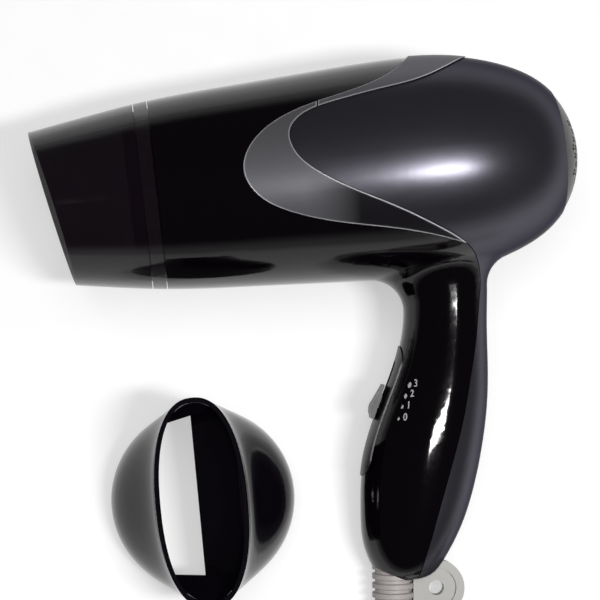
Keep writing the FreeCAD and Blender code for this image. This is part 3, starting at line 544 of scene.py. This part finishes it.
def flat_on_dryer(mesh, x, z, lean=0.0):
    """Carries a flat mesh drawn in millimetres in its own XY plane to the dryer's near side."""
    place = (Matrix.Translation((x, PRINT_PLANE, z)) @ Matrix.Rotation(lean, 4, "Y")
             @ Matrix.Rotation(math.pi / 2, 4, "X"))
    mesh.transform(LIE @ place)
    return mesh


def disc(radius):
    """A filled circle: points at equal angles, joined by one face."""
    angle = np.linspace(0, 2 * math.pi, DISC_SIDES, endpoint=False)
    rim = np.stack([radius * np.cos(angle), radius * np.sin(angle), 0 * angle], axis=1)
    mesh = bpy.data.meshes.new("disc")
    mesh.from_pydata(rim.tolist(), [], [list(range(DISC_SIDES))])
    return mesh


def figure(text):
    """One printed figure, centred on its own origin."""
    curve = bpy.data.curves.new("figure", "FONT")
    curve.body, curve.size = text, FIGURE_HEIGHT
    curve.align_x, curve.align_y = "CENTER", "CENTER"
    curve.offset = STROKE_SWELL
    writing = bpy.data.objects.new("figure", curve)
    bpy.context.scene.collection.objects.link(writing)
    seen = writing.evaluated_get(bpy.context.evaluated_depsgraph_get())
    mesh = bpy.data.meshes.new_from_object(seen)
    bpy.data.objects.remove(writing)
    return mesh


ink = moulded("grey_print", (0.44, 0.44, 0.45), 0.5, 0.1, grain=0.3, tint=1.15)
for text, (x, z, dot_x, dot_z, dot_radius) in MARKS.items():
    for name, mesh in ((f"figure_{text}", flat_on_dryer(figure(text), x, z, FIGURE_LEAN)),
                       (f"dot_{text}", flat_on_dryer(disc(dot_radius), dot_x, dot_z))):
        mark = bpy.data.objects.new(name, mesh)
        mesh.materials.clear()
        mesh.materials.append(ink)
        bpy.context.scene.collection.objects.link(mark)
        press = mark.modifiers.new("press", "SHRINKWRAP")
        press.target = nodes["front_shell"]
        press.wrap_method, press.wrap_mode = "NEAREST_SURFACEPOINT", "ABOVE_SURFACE"
        press.offset = PRINT_LIFT * MM
        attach(mark, "dryer")
print("marks:", 2 * len(MARKS))

# %% [markdown]
# ## Floor
#
# The dryer lies on a plain pale floor.  Its own paint is a light grey, and a glow lifts it to white.
# Light Path lets camera, glossy and transmission rays see that glow alike, so what the gloss
# and clear plastics mirror is the same white floor that the eye sees, and the shadow stays on it.

# %% Floor
FLOOR_PAINT = ((0.56, 0.56, 0.56, 1), (0.60, 0.60, 0.60, 1))
FLOOR_GLOW = (0.50, 0.50, 0.50, 1)


def floor_material():
    """Light grey paint plus a glow that the camera, reflections and clear plastic all see."""
    finish = Finish("white_floor").constant(Specular_IOR_Level=0.0, Emission_Strength=1.0)
    speck = finish.noise(60, 2)
    rays = [finish.node("ShaderNodeLightPath", output=kind)
            for kind in ("Is Camera Ray", "Is Glossy Ray", "Is Transmission Ray")]
    seen = (rays[0] + rays[1] + rays[2]).clamped()
    return finish.paint(Base_Color=finish.mix(speck, FLOOR_PAINT[0], FLOOR_PAINT[1]),
                        Roughness=0.9,
                        Emission_Color=finish.mix(seen, (0, 0, 0, 1), FLOOR_GLOW))


FLOOR_HALF = 3.0
floor_mesh = bpy.data.meshes.new("floor")
floor_mesh.from_pydata([(-FLOOR_HALF, -FLOOR_HALF, 0), (FLOOR_HALF, -FLOOR_HALF, 0),
                        (FLOOR_HALF, FLOOR_HALF, 0), (-FLOOR_HALF, FLOOR_HALF, 0)], [], [(0, 1, 2, 3)])
floor = bpy.data.objects.new("floor", floor_mesh)
floor_mesh.materials.append(floor_material())
bpy.context.scene.collection.objects.link(floor)
print("floor", 2 * FLOOR_HALF, "m square")

# %% [markdown]
# ## Light
#
# Gloss black plastic is a mirror, so its look is the look of the room.  Here the room is pale low down
# and dark overhead, as a studio is above its lamps, and every kind of ray sees it so.  Two soft boxes
# light the dryer.  The mirror images of the key are the glow on the rear cover and the bar of light on
# the handle.  The fill brings every surface to an even level, at which colours look as they are
# written, and it has no mirror image of its own.

# %% World
ROOM_TOP, ROOM_LOW = 0.04, 0.50    # brightness overhead and at the horizon
PALE_BELOW = 0.26                  # the height, as the sine of its elevation, where it starts to pale
world = bpy.data.worlds.new("studio")
bpy.context.scene.world = world
world.use_nodes = True
room = Network(world.node_tree)
way = room.node("ShaderNodeTexCoord", output="Generated")
height = room.node("ShaderNodeSeparateXYZ", {}, {0: way}, "Z")
share = ((PALE_BELOW - height) * (1 / PALE_BELOW)).clamped()
level = share * share * (3 - share * 2) * (ROOM_LOW - ROOM_TOP) + ROOM_TOP
background = next(n for n in room.tree.nodes if n.type == "BACKGROUND")
background.inputs["Color"].default_value = (1, 1, 1, 1)
room.feed(background.inputs["Strength"], level)
print("world nodes:", len(room.tree.nodes))

# %% Lamps
def soft_box(name, target, way, distance, width, height, radiance):
    """A rectangular lamp facing a point of the dryer, from a direction in the dryer's own axes.

    Its power is worked out from the brightness of its face: power = pi times area times radiance.
    """
    lamp = bpy.data.lights.new(name, "AREA")
    lamp.shape, lamp.size, lamp.size_y = "RECTANGLE", width, height
    lamp.energy = math.pi * width * height * radiance
    holder = bpy.data.objects.new(name, lamp)
    there = on_dryer(*target)
    ahead = -(turn @ Vector(way)).normalized()
    side = ahead.cross(upward).normalized()
    holder.matrix_world = (Matrix.Translation(there - ahead * distance)
                           @ Matrix((side, side.cross(ahead), -ahead)).transposed().to_4x4())
    bpy.context.scene.collection.objects.link(holder)
    level = radiance * width * height / distance ** 2 / math.pi
    print(f"{name}: light level {level:.2f} on a surface that faces it")
    return holder


soft_box("key", target=(-30, -42, -4), way=(0.27, -0.96, -0.155), distance=1.0,
         width=0.30, height=0.10, radiance=70)
fill = soft_box("fill", target=(-60, 0, -40), way=(-0.10, -0.97, 0.22), distance=2.5,
                width=1.6, height=1.6, radiance=3.0)
fill.visible_glossy = False
